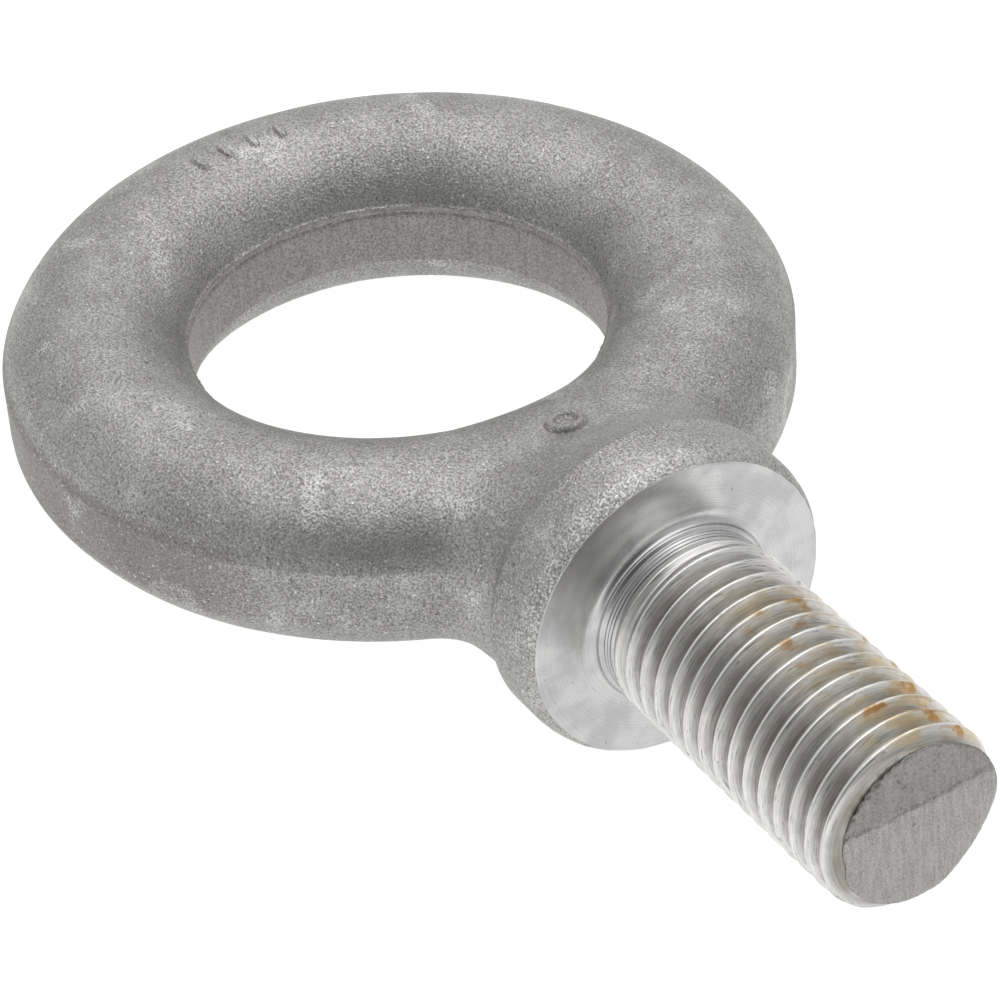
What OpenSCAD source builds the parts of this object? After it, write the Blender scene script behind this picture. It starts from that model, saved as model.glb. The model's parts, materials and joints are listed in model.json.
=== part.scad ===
// Forged lifting eye bolt with a machined shoulder and a coarse metric thread.
// The real one is a single closed-die forging. It is drawn here as the zones it is made in,
// which meet face to face: the ring and neck as forged, the turned seat, the cut thread.
// Millimetres. The origin is the centre of the eye, +X runs along the thread to its tip,
// and +Z is the axis of the eye.

/* [Eye ring] */
// Diameter of the eye, the trimmed flat inside the ring
eye_d = 45; // [44:0.5:46]
// Outer diameter of the ring, over its trimmed flat
ring_d = 84.4; // [83.4:0.2:85.4]
// How much thicker the forged bar is than the ring is wide
bar_excess = 1.1; // [0.8:0.1:1.6]

/* [Neck and shoulder] */
// Distance from the centre of the eye to the machined seat
seat_x = 53.6; // [53:0.1:55]
// Diameter of the machined seat
seat_d = 33; // [32:0.5:33.6]
// Diameter of the shoulder as forged
shoulder_d = 35; // [34.6:0.2:36]
// Thickness of the shoulder behind the machined layer
shoulder_len = 6.6; // [6:0.2:7]
// Thickness of the layer that the turning tool leaves bright
seat_len = 1; // [0.8:0.1:1.2]
// Width of the neck between ring and shoulder
neck_w = 33.2; // [32:0.2:33.6]
// Thickness of the neck where it leaves the ring
neck_thin = 18.4; // [17:0.2:19]
// Thickness of the neck where it reaches the shoulder
neck_thick = 32; // [30:0.5:33]

/* [Thread] */
// Nominal diameter of the thread
thread_d = 20; // [20:2:22]
// Pitch of the thread
pitch = 2.5; // [1.5, 2, 2.5]
// Full turns of thread
turns = 14; // [10:1:16]
// Distance from the seat to the first full turn
root_len = 2.5; // [2:0.1:3]
// Radius of the turned fillet where the shank leaves the seat
root_fillet = 1.3; // [0.8:0.1:1.8]
// Length of the bevelled point
point_len = 1.7; // [1.5:0.1:2.5]
// Diameter of the end face
point_d = 18.4; // [17.4:0.2:18.6]

/* [Forge marks] */
// Height of the raised marks above the ring
mark_h = 0.5; // [0.3:0.1:0.8]
// Number of code bars on the ring
bars = 4; // [3:1:6]
// Angle from one code bar to the next
bar_step = 6; // [5:0.5:8]

/* [Hidden] */
$fn = 96;
eye_r = eye_d / 2;
ring_r = ring_d / 2;
bar_r = (ring_r - eye_r + bar_excess) / 2;
bar_path_r = (ring_r + eye_r) / 2;
shoulder_r = shoulder_d / 2;
seat_r = seat_d / 2;
// where the zones meet along the thread's axis
seat_back_x = seat_x - seat_len;
shoulder_back_x = seat_back_x - shoulder_len;
neck_start_x = bar_path_r - 2;
thread_x = seat_x + root_len;
point_x = thread_x + turns * pitch;
tip_x = point_x + point_len;
// breaks on the shoulder's edges: long ones at the back as forged, a short one at the front
back_break = 1.8;
back_drop = 0.9;
front_break = 1;
front_drop = 0.4;
// ISO metric profile: crest flat, depth and 30 degree flanks
crest_r = thread_d / 2;
crest_w = pitch / 8;
groove_depth = 0.6134 * pitch;
flank_w = groove_depth * tan(30);
groove_r = crest_r - groove_depth;
// the fillet runs from the seat down to the shank, which stays plain up to the first turn
fillet_r = crest_r + root_fillet;
// the point starts just under the crests
point_base_r = crest_r - 0.1;
// forge marks: bars across the crown of the ring at its far side, a pip beside the neck
bar_w = 1.6;
bar_len = 4;
bars_at = 183;
pip_r = 2.4;
pip_x = 34;
forged = [0.56, 0.56, 0.54];
machined = [0.78, 0.79, 0.80];
cut = [0.70, 0.70, 0.68];

// a solid of revolution about the thread's axis, from [radius, distance along X] points
module turned(outline) {
    rotate([0, 90, 0]) rotate_extrude() polygon(outline);
}

// a round bar bent into a ring, with its flash trimmed flat inside and outside
module ring_solid() {
    intersection() {
        rotate_extrude() translate([bar_path_r, 0]) circle(r = bar_r);
        difference() {
            cylinder(r = ring_r, h = 4 * bar_r, center = true);
            cylinder(r = eye_r, h = 5 * bar_r, center = true);
        }
    }
}

// the flared stub between ring and shoulder, before the ring is taken out of it
module neck_solid() {
    intersection() {
        turned([[0, neck_start_x], [neck_w / 2, neck_start_x],
                [neck_w / 2, shoulder_back_x], [0, shoulder_back_x]]);
        rotate([90, 0, 0])
            linear_extrude(height = 2 * neck_w, center = true)
                polygon([[neck_start_x, -neck_thin / 2], [shoulder_back_x, -neck_thick / 2],
                         [shoulder_back_x, neck_thick / 2], [neck_start_x, neck_thin / 2]]);
    }
}

// one groove of the thread in half section, starting at the middle of a crest
function groove(x) = [
    [crest_r, x + crest_w / 2],
    [groove_r, x + crest_w / 2 + flank_w],
    [groove_r, x + pitch - crest_w / 2 - flank_w],
    [crest_r, x + pitch - crest_w / 2]
];

module eye_ring() {
    color(forged) ring_solid();
}

module neck() {
    color(forged) difference() {
        neck_solid();
        ring_solid();
    }
}

module shoulder_collar() {
    color(forged) turned([
        [0, shoulder_back_x],
        [shoulder_r - back_drop, shoulder_back_x],
        [shoulder_r, shoulder_back_x + back_break],
        [shoulder_r, seat_back_x - front_break],
        [shoulder_r - front_drop, seat_back_x],
        [0, seat_back_x]
    ]);
}

module seat_face() {
    color(machined) turned([
        [fillet_r, seat_back_x],
        [shoulder_r - front_drop, seat_back_x],
        [seat_r, seat_x],
        [fillet_r, seat_x]
    ]);
}

module root_fillet_ring() {
    color(machined) rotate([0, 90, 0]) rotate_extrude() difference() {
        polygon([[0, seat_back_x], [fillet_r, seat_back_x], [fillet_r, seat_x + root_fillet],
                 [crest_r, seat_x + root_fillet], [crest_r, thread_x], [0, thread_x]]);
        translate([fillet_r, seat_x + root_fillet]) circle(r = root_fillet);
    }
}

// the grooves are rings, not a helix, so the crests stay one true cylinder
module threaded_shank() {
    color(cut) turned([
        [0, thread_x],
        [crest_r, thread_x],
        for (i = [0 : turns - 1], point = groove(thread_x + i * pitch)) point,
        [crest_r, point_x],
        [0, point_x]
    ]);
}

module shank_point() {
    color(forged) turned([[0, point_x], [point_base_r, point_x], [point_d / 2, tip_x], [0, tip_x]]);
}

module forge_marks() {
    color(forged) difference() {
        union() {
            for (i = [0 : bars - 1])
                rotate([0, 0, bars_at + (i - (bars - 1) / 2) * bar_step])
                    translate([bar_path_r - bar_len / 2, -bar_w / 2, bar_r - 1])
                        cube([bar_len, bar_w, 1 + mark_h]);
            translate([pip_x, 0, bar_r - 2]) cylinder(r = pip_r, h = 2 + mark_h);
        }
        ring_solid();
        neck_solid();
    }
}

eye_ring();
neck();
shoulder_collar();
seat_face();
root_fillet_ring();
threaded_shank();
shank_point();
forge_marks();
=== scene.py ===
"""Dresses a forged shoulder eye bolt: one steel forging with a turned seat and a cut thread.

Lengths are in millimetres inside the classes and turn to metres when a mesh is made.
The origin is the centre of the eye, +X runs along the thread and +Z is the eye's axis.
"""

import functools
import itertools
import json
import logging
import math
from collections.abc import Callable
from dataclasses import dataclass, field
from enum import Enum

import bpy
import numpy as np
from mathutils import Matrix, Vector


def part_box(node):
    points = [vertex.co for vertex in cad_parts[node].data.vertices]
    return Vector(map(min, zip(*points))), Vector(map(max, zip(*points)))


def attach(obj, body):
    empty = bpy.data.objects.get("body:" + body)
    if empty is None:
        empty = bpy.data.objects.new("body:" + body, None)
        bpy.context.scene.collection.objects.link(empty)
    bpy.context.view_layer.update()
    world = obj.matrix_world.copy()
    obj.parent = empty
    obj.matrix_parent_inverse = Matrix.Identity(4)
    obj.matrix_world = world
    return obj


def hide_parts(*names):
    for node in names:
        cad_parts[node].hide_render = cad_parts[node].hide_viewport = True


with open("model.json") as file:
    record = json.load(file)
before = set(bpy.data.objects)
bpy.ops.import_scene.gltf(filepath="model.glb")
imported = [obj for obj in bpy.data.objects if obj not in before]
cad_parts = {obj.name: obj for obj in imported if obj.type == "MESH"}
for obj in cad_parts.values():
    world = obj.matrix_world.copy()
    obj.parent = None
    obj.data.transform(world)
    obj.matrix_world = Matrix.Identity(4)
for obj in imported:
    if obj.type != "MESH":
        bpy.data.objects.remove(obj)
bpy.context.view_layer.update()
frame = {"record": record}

LOG = logging.getLogger("eye_bolt")
MM = 0.001
TAU = 2 * math.pi
BODY = "root"
Array = np.ndarray
Material = bpy.types.Material
Socket = bpy.types.NodeSocket


# ---------------------------------------------------------------- numbers and relief


def ramp(value: Array, low: float, high: float) -> Array:
    """Runs smoothly from 0 to 1.

    Args:
        value: Where to read the ramp.
        low: Where it is 0.
        high: Where it is 1.

    Returns:
        The ramp's height at each value.
    """
    t = np.clip((np.asarray(value, float) - low) / (high - low), 0, 1)
    return t * t * (3 - 2 * t)


def hump(value: Array, width: float) -> Array:
    """Gives a bell curve of height 1 round zero, with that half width."""
    return np.exp(-((value / width) ** 2))


def blend_min(a: Array, b: Array, reach: float) -> Array:
    """Joins two distance fields with a rounded valley.

    Args:
        a: Distance to the first shape.
        b: Distance to the second shape.
        reach: How far apart they may be and still be rounded together.

    Returns:
        The distance to both shapes together.
    """
    overlap = np.maximum(reach - np.abs(a - b), 0) / reach
    return np.minimum(a, b) - overlap**2 * reach / 4


def blend_max(a: Array, b: Array, reach: float) -> Array:
    """Cuts one distance field by another with a rounded edge, as blend_min joins them."""
    return -blend_min(-a, -b, reach)


def graded(length: float, fine: float, coarse: float, growth: float = 0.16) -> Array:
    """Spaces places along an edge, close together at both ends.

    Args:
        length: The edge's length.
        fine: The spacing at its ends.
        coarse: The widest spacing.
        growth: How fast the spacing grows with distance from an end.

    Returns:
        Places from 0 to length.
    """
    places = [0.0]
    while places[-1] < length:
        to_end = min(places[-1], length - places[-1])
        places.append(places[-1] + min(coarse, fine + growth * to_end))
    return np.array(places) * length / places[-1]


def crossing(
    low: Array, high: Array, outside: Callable[[Array], Array], halvings: int
) -> Array:
    """Closes in on the places where a shape ends.

    Args:
        low: Places inside the shape.
        high: Places outside it.
        outside: Says which places are outside.
        halvings: How often the span between the two is halved.

    Returns:
        The last places inside.
    """
    for _ in range(halvings):
        middle = (low + high) / 2
        out = outside(middle)
        high = np.where(out, middle, high)
        low = np.where(out, low, middle)
    return low


@dataclass
class Relief:
    """Random relief that is one smooth function of place, so that it runs on across pieces."""

    seed: int
    slopes: Array = field(init=False)

    def __post_init__(self) -> None:
        """Draws the random slopes."""
        slopes = np.random.default_rng(self.seed).normal(size=(4096, 3))
        self.slopes = slopes / np.linalg.norm(slopes, axis=1)[:, None]

    def at(self, points: Array, size: float) -> Array:
        """Reads the relief.

        Args:
            points: Places in mm, with 3 coordinates each.
            size: The relief's lump size in mm.

        Returns:
            Heights, mostly between -1 and 1.
        """
        place = points / size
        cell = np.floor(place).astype(np.int64)
        inside = place - cell
        weight = inside**3 * (inside * (inside * 6 - 15) + 10)
        total = np.zeros(points.shape[:-1])
        for corner in itertools.product((0, 1), repeat=3):
            at = cell + np.array(corner)
            key = (at[..., 0] * 73856093 ^ at[..., 1] * 19349663 ^ at[..., 2] * 83492791) & 4095
            height = ((inside - corner) * self.slopes[key]).sum(-1)
            total += height * np.where(corner, weight, 1 - weight).prod(-1)
        return total * 1.7


@dataclass
class ForgedRelief:
    """The uneven skin that a drop forging keeps: slow waves, scale pits and blasted grit."""

    waves: Relief = field(default_factory=lambda: Relief(11))
    pits: Relief = field(default_factory=lambda: Relief(12))
    grit: Relief = field(default_factory=lambda: Relief(13))

    def at(self, points: Array) -> Array:
        """Reads the skin.

        Args:
            points: Places in mm.

        Returns:
            The skin's height in mm at each.
        """
        slow = 0.055 * self.waves.at(points, 14.0) + 0.018 * self.waves.at(points, 5.0)
        pitted = self.pits.at(points, 1.7)
        pitting = 0.006 * pitted - 0.03 * ramp(self.pits.at(points + 40, 2.6), 0.5, 0.9)
        return slow + pitting + 0.010 * self.grit.at(points, 0.7)


# ---------------------------------------------------------------- meshes


@dataclass
class MeshDraft:
    """A closed mesh put together from loops of points."""

    points: list[Array] = field(default_factory=list)
    faces: list[Array] = field(default_factory=list)
    zones: list[Array] = field(default_factory=list)
    creases: list[Array] = field(default_factory=list)
    count: int = 0

    def add(self, points: Array) -> Array:
        """Adds points.

        Args:
            points: The points in mm.

        Returns:
            Their numbers, in the same arrangement.
        """
        flat = np.asarray(points, float).reshape(-1, 3)
        first = self.count
        self.points.append(flat)
        self.count += len(flat)
        return np.arange(first, self.count).reshape(np.asarray(points).shape[:-1])

    def band(self, first: Array, second: Array, zone: int = 0) -> None:
        """Joins two closed loops of equally many points.

        Args:
            first: The point numbers of one loop.
            second: The point numbers of the next.
            zone: The finish's number.
        """
        quads = np.stack([first, np.roll(first, -1), np.roll(second, -1), second], -1)
        self.faces.append(quads.reshape(-1, 4))
        self.zones.append(np.full(len(first), zone))

    def fan(self, loop: Array, centre: Array, zone: int = 0) -> None:
        """Closes a loop with triangles to one point.

        Args:
            loop: The loop's point numbers.
            centre: The point to close it to, in mm.
            zone: The finish's number.
        """
        middle = int(self.add(np.array([centre]))[0])
        self.faces.append(np.stack([loop, np.roll(loop, -1), np.full(len(loop), middle)], -1))
        self.zones.append(np.full(len(loop), zone))

    def crease(self, loop: Array) -> None:
        """Keeps the edges along a closed loop sharp."""
        self.creases.append(np.sort(np.stack([loop, np.roll(loop, -1)], -1), axis=1))

    def sleeve(self, grid: Array, sharp: tuple[int, ...] = ()) -> Array:
        """Adds a grid of points that is closed round its first side, and joins its rows.

        Args:
            grid: The points, arranged as columns round and rows along.
            sharp: The rows whose edges stay sharp.

        Returns:
            The point numbers, in the same arrangement.
        """
        rows = self.add(grid)
        for i in range(grid.shape[1] - 1):
            self.band(rows[:, i], rows[:, i + 1])
        for i in sharp:
            self.crease(rows[:, i])
        return rows

    def net(self, rows: Array) -> None:
        """Joins an open grid of point numbers with squares.

        Args:
            rows: The point numbers.
        """
        corners = [rows[:-1, :-1], rows[1:, :-1], rows[1:, 1:], rows[:-1, 1:]]
        squares = np.stack(corners, -1).reshape(-1, 4)
        self.faces.append(squares)
        self.zones.append(np.zeros(len(squares)))

    def build(self, name: str) -> bpy.types.Object:
        """Makes the Blender object.

        Args:
            name: The piece's name.

        Returns:
            The linked object, with its faces turned outwards.
        """
        points = np.concatenate(self.points) * MM
        mesh = bpy.data.meshes.new(name)
        mesh.from_pydata(points.tolist(), [], [f for block in self.faces for f in block.tolist()])
        mesh.polygons.foreach_set("material_index", np.concatenate(self.zones).astype(np.int32))
        mesh.polygons.foreach_set("use_smooth", np.ones(len(mesh.polygons), bool))
        if self.creases:
            ends = np.zeros(len(mesh.edges) * 2, np.int64)
            mesh.edges.foreach_get("vertices", ends)
            one_number = np.array([self.count, 1])
            pairs = np.sort(ends.reshape(-1, 2), axis=1) @ one_number
            sharp = np.isin(pairs, np.concatenate(self.creases) @ one_number)
            mesh.edges.foreach_set("use_edge_sharp", sharp)
        if self.volume(points) < 0:
            mesh.flip_normals()
        mesh.update()
        piece = bpy.data.objects.new(name, mesh)
        bpy.context.scene.collection.objects.link(piece)
        return piece

    def volume(self, points: Array) -> float:
        """Works out the volume inside the faces.

        Args:
            points: All the points.

        Returns:
            The volume, below zero when the faces are inside out.
        """
        total = 0.0
        for block in self.faces:
            corners = points[block]
            for i in range(1, block.shape[1] - 1):
                cross = np.cross(corners[:, i], corners[:, i + 1])
                total += float((corners[:, 0] * cross).sum()) / 6
        return total


def outward(grid: Array, inside: Array) -> Array:
    """Finds the directions that stand square on a grid of points closed along its first side.

    Args:
        grid: Points, arranged as columns round and rows along.
        inside: A place inside the shape.

    Returns:
        Unit directions pointing away from the inside.
    """
    round_way = np.roll(grid, -1, axis=0) - np.roll(grid, 1, axis=0)
    along_way = np.gradient(grid, axis=1)
    square = np.cross(round_way, along_way)
    square /= np.linalg.norm(square, axis=-1, keepdims=True)
    side = np.sign((square * (grid - inside)).sum(-1, keepdims=True))
    return square * side


def turned_points(turn: Array, x: Array, radius: Array) -> Array:
    """Places points round the thread's axis.

    Args:
        turn: Angles about +X in radians.
        x: Distances along +X in mm.
        radius: Distances from the axis in mm.

    Returns:
        Points in mm.
    """
    return np.stack(np.broadcast_arrays(x, radius * np.cos(turn), radius * np.sin(turn)), -1)


def on_axis(x: float) -> Array:
    """Gives the point on the thread's axis at x mm."""
    return np.array([x, 0.0, 0.0])


# ---------------------------------------------------------------- materials


def linear(colour: str) -> tuple[float, float, float, float]:
    """Turns an sRGB hex colour to a linear one.

    Args:
        colour: Six hex digits.

    Returns:
        Red, green, blue and alpha, linear.
    """
    parts = [int(colour[i:i + 2], 16) / 255 for i in (0, 2, 4)]
    r, g, b = (c / 12.92 if c <= 0.04045 else ((c + 0.055) / 1.055) ** 2.4 for c in parts)
    return r, g, b, 1.0


def add_node(
    tree: bpy.types.NodeTree, kind: str, settings: dict[str, object], inputs: dict[object, object]
) -> bpy.types.Node:
    """Adds a node with its settings and links.

    Args:
        tree: The material's node tree.
        kind: The node's type.
        settings: The node's own settings by name.
        inputs: For each input, by name or number, a value or the socket that feeds it.

    Returns:
        The node.
    """
    node = tree.nodes.new(kind)
    for name, value in settings.items():
        setattr(node, name, value)
    for key, value in inputs.items():
        if isinstance(value, Socket):
            tree.links.new(value, node.inputs[key])
        else:
            node.inputs[key].default_value = value
    return node


class Way(Enum):
    """How a mix of two numbers is worked out."""

    ADD = "ADD"
    TIMES = "MULTIPLY"
    ANGLE = "ARCTAN2"


@dataclass
class Recipe:
    """Builds one material's pattern, with sizes in mm in the object's own space."""

    name: str
    material: Material = field(init=False)
    tree: bpy.types.NodeTree = field(init=False)
    place: Socket = field(init=False)

    def __post_init__(self) -> None:
        """Starts an empty material that knows where each point of the object is."""
        self.material = bpy.data.materials.new(self.name)
        self.material.use_nodes = True
        self.tree = self.material.node_tree
        self.tree.nodes.clear()
        self.place = self.node("ShaderNodeTexCoord", {}, {}).outputs["Object"]

    def node(
        self, kind: str, settings: dict[str, object], inputs: dict[object, object]
    ) -> bpy.types.Node:
        """Adds a node to this material, as add_node does."""
        return add_node(self.tree, kind, settings, inputs)

    def stretched(self, x: float, y: float, z: float) -> Socket:
        """Scales the place along each axis, so that a pattern is drawn out along the others."""
        return self.node("ShaderNodeMapping", {}, {"Vector": self.place, "Scale": (x, y, z)}).outputs[0]

    def noise(self, size: float, detail: float = 2.0, place: Socket | None = None) -> Socket:
        """Gives soft random lumps.

        Args:
            size: The lumps' size in mm.
            detail: How many finer layers it has.
            place: Where to read it, if not the plain place.

        Returns:
            The lumps' height, from 0 to 1.
        """
        inputs = {"Vector": place or self.place, "Scale": 1 / (size * MM), "Detail": detail}
        return self.node("ShaderNodeTexNoise", {}, inputs).outputs[0]

    def pits(self, size: float, place: Socket | None = None) -> Socket:
        """Gives round dents about that many mm apart, 0 at their middles."""
        inputs = {"Vector": place or self.place, "Scale": 1 / (size * MM)}
        return self.node("ShaderNodeTexVoronoi", {"feature": "F1"}, inputs).outputs["Distance"]

    def span(
        self, value: Socket, low: float, high: float, start: float = 0.0, end: float = 1.0
    ) -> Socket:
        """Runs smoothly from start to end as value goes from low to high.

        Args:
            value: The number to read.
            low: Where the result is start.
            high: Where the result is end.
            start: The result at and below low.
            end: The result at and above high.

        Returns:
            The result.
        """
        inputs = {"Value": value, "From Min": low, "From Max": high, "To Min": start, "To Max": end}
        settings = {"interpolation_type": "SMOOTHSTEP"}
        return self.node("ShaderNodeMapRange", settings, inputs).outputs[0]

    def span_mm(
        self, value: Socket, low: float, high: float, start: float = 0.0, end: float = 1.0
    ) -> Socket:
        """Does what span does, for a length read between low and high mm."""
        return self.span(value, low * MM, high * MM, start, end)

    def sums(self, way: Way, a: object, b: object) -> Socket:
        """Works out a number from two others, in the way named."""
        return self.node("ShaderNodeMath", {"operation": way.value}, {0: a, 1: b}).outputs[0]

    def times(self, *parts: object) -> Socket:
        """Multiplies numbers."""
        return functools.reduce(lambda a, b: self.sums(Way.TIMES, a, b), parts)

    def plus(self, *parts: object) -> Socket:
        """Adds numbers."""
        return functools.reduce(lambda a, b: self.sums(Way.ADD, a, b), parts)

    def joined(self, x: object, y: object, z: object = 0.0) -> Socket:
        """Makes a place out of three numbers, to read a pattern at."""
        return self.node("ShaderNodeCombineXYZ", {}, {"X": x, "Y": y, "Z": z}).outputs[0]

    def tint(self, share: object, a: object, b: object) -> Socket:
        """Mixes two colours.

        Args:
            share: How much of the second colour shows.
            a: The first colour, as hex or a socket.
            b: The second one.

        Returns:
            The mixed colour.
        """
        first, second = (linear(c) if isinstance(c, str) else c for c in (a, b))
        inputs = {0: share, 6: first, 7: second}
        return self.node("ShaderNodeMix", {"data_type": "RGBA"}, inputs).outputs[2]

    def axis(self, name: str) -> Socket:
        """Gives one coordinate of the place, in metres."""
        return self.node("ShaderNodeSeparateXYZ", {}, {0: self.place}).outputs[name]

    def from_axis(self, across: tuple[int, int, int] = (0, 1, 1)) -> Socket:
        """Measures the distance from an axis.

        Args:
            across: 1 for each coordinate across the axis, which is the thread's if not told otherwise.

        Returns:
            The distance in metres.
        """
        math_node = "ShaderNodeVectorMath"
        flat = self.node(math_node, {"operation": "MULTIPLY"}, {0: self.place, 1: across})
        return self.node(math_node, {"operation": "LENGTH"}, {0: flat.outputs[0]}).outputs["Value"]

    def finish(
        self,
        colour: Socket,
        roughness: Socket,
        height: Socket,
        depth: float,
        fixed: dict[object, object],
    ) -> Material:
        """Closes the material with its shader.

        Args:
            colour: The colour all over.
            roughness: The roughness all over.
            height: The fine relief, from 0 to 1.
            depth: How deep that relief is, in mm.
            fixed: The shader's uniform values.

        Returns:
            The material.
        """
        bumps = {"Height": height, "Distance": depth * MM, "Strength": 1.0}
        bump = self.node("ShaderNodeBump", {}, bumps)
        inputs = {"Base Color": colour, "Roughness": roughness, "Normal": bump.outputs[0]}
        shader = self.node("ShaderNodeBsdfPrincipled", {}, {**inputs, **fixed})
        self.node("ShaderNodeOutputMaterial", {}, {"Surface": shader.outputs[0]})
        return self.material


@dataclass(frozen=True)
class ForgedSteel:
    """Carbon steel, drop forged and shot blasted: matt, grainy, mottled, with no clear reflection."""

    low: str = "908f8c"
    high: str = "bdbcb9"
    scuff: str = "dad9d7"
    flat: str = "7c7a77"
    scale: str = "55544f"
    # colour of the painted glints
    painted_glint: str = "efeeec"
    # colour of the bright chips, partly bare metal and partly a painted highlight
    chip_and_highlight: str = "f4f3f1"
    grit: float = 0.24
    relief: float = 0.085
    ring_r: float = 42.2
    seat_x: float = 53.6

    def material(self) -> Material:
        """Makes the material.

        Returns:
            The material.
        """
        r = Recipe("forged_steel_shot_blasted")
        mottle = r.span(r.noise(11.0, 4.0), 0.34, 0.66)
        patch = r.span(r.noise(3.6, 3.0), 0.35, 0.68)
        # shot leaves dents of a few tenths of a millimetre, each with its own small glint
        grain = r.noise(self.grit, 3.0)
        dents = r.pits(self.grit * 1.3)
        fine = r.span(grain, 0.34, 0.66, -0.22, 0.64)
        share = r.plus(r.times(mottle, 0.26), r.times(patch, 0.22), fine)
        colour = r.tint(share, self.low, self.high)
        # the trimmed rim is a little darker, until the neck swallows it
        rim = r.span_mm(r.from_axis((1, 1, 0)), self.ring_r - 0.7, self.ring_r - 0.2)
        colour = r.tint(r.times(rim, r.span_mm(r.axis("X"), 20, 29, 0.55, 0.0)), colour, self.flat)
        # rubbed places are paler
        rubbed = r.times(r.span(r.noise(5.5, 5.0), 0.59, 0.69), r.span(grain, 0.38, 0.60), 0.6)
        colour = r.tint(rubbed, colour, self.scuff)
        # loose scale leaves dark specks; the bright specks are painted glints; bright chips are
        # thickest by the turned face
        colour = r.tint(r.span(r.noise(0.42, 1.0), 0.66, 0.74, 0.0, 0.6), colour, self.scale)
        colour = r.tint(r.span(r.noise(0.34, 1.0), 0.67, 0.74, 0.0, 0.65), colour, self.painted_glint)
        # bright chips of bare metal by the turned face, painted denser on the upper left as a painted
        # highlight
        by_seat = r.span_mm(r.axis("X"), self.seat_x - 3.4, self.seat_x - 0.9)
        left = r.span_mm(r.axis("Y"), -7, 6, 1.0, 0.3)
        upper = r.span_mm(r.axis("Z"), -3, 9, 0.35, 1.0)
        chips_and_highlight = r.times(by_seat, left, upper, r.span(r.noise(0.28, 2.0), 0.50, 0.64, 0.0, 0.75))
        colour = r.tint(chips_and_highlight, colour, self.chip_and_highlight)
        roughness = r.span(grain, 0.3, 0.7, 0.64, 0.48)
        height = r.plus(r.times(grain, 0.7), r.times(dents, 0.45))
        return r.finish(colour, roughness, height, self.relief, {"Metallic": 1.0})


@dataclass(frozen=True)
class ShearedFlash:
    """Forged steel whose flash was trimmed in a press: smoother, darker, with fine lines across."""

    low: str = "817f7c"
    high: str = "9c9b98"
    speck: str = "62605b"
    line_pitch: float = 0.5
    relief: float = 0.07

    def material(self) -> Material:
        """Makes the material.

        Returns:
            The material.
        """
        r = Recipe("forged_steel_trimmed_flash")
        # shear lines run along the eye's axis, so the pattern is drawn out along Z
        lines = r.noise(self.line_pitch, 2.0, r.stretched(1, 1, 0.07))
        grain = r.noise(0.26, 2.0)
        share = r.plus(r.span(lines, 0.3, 0.7, 0.0, 0.30), r.span(grain, 0.34, 0.66, -0.1, 0.85))
        colour = r.tint(share, self.low, self.high)
        colour = r.tint(r.span(r.noise(0.6, 1.0), 0.68, 0.76, 0.0, 0.5), colour, self.speck)
        height = r.plus(r.times(lines, 0.3), r.times(grain, 0.5))
        roughness = r.span(grain, 0.3, 0.7, 0.52, 0.42)
        return r.finish(colour, roughness, height, self.relief, {"Metallic": 1.0})


@dataclass(frozen=True)
class TurnedSteel:
    """Bright turned steel: fine rings round the axis draw reflections out into wedges."""

    low: str = "b2b2b3"
    high: str = "d4d4d3"
    stain: str = "77777a"
    feed: float = 0.16
    relief: float = 0.009
    anisotropy: float = 0.75

    def material(self) -> Material:
        """Makes the material.

        Returns:
            The material.
        """
        r = Recipe("steel_bright_turned")
        # the tool's rings follow the radius, a few hundredths apart; drawn coarser so that they show
        along = r.joined(r.from_axis(), r.axis("X"))
        rings = r.noise(self.feed, 3.0, along)
        broad = r.noise(1.1, 2.0, along)
        cloud = r.noise(4.0, 3.0)
        share = r.plus(r.span(rings, 0.3, 0.7, 0.0, 0.35), r.span(cloud, 0.35, 0.65, 0.1, 0.6))
        colour = r.tint(share, self.low, self.high)
        stain = r.times(r.span(r.noise(0.5, 2.0), 0.66, 0.74), r.span(broad, 0.4, 0.6), 0.5)
        colour = r.tint(stain, colour, self.stain)
        roughness = r.span(cloud, 0.3, 0.7, 0.30, 0.22)
        tangent = r.node("ShaderNodeTangent", {"direction_type": "RADIAL", "axis": "X"}, {})
        fixed = {"Metallic": 1.0, "Anisotropic": self.anisotropy, "Tangent": tangent.outputs[0]}
        return r.finish(colour, roughness, rings, self.relief, fixed)


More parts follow.
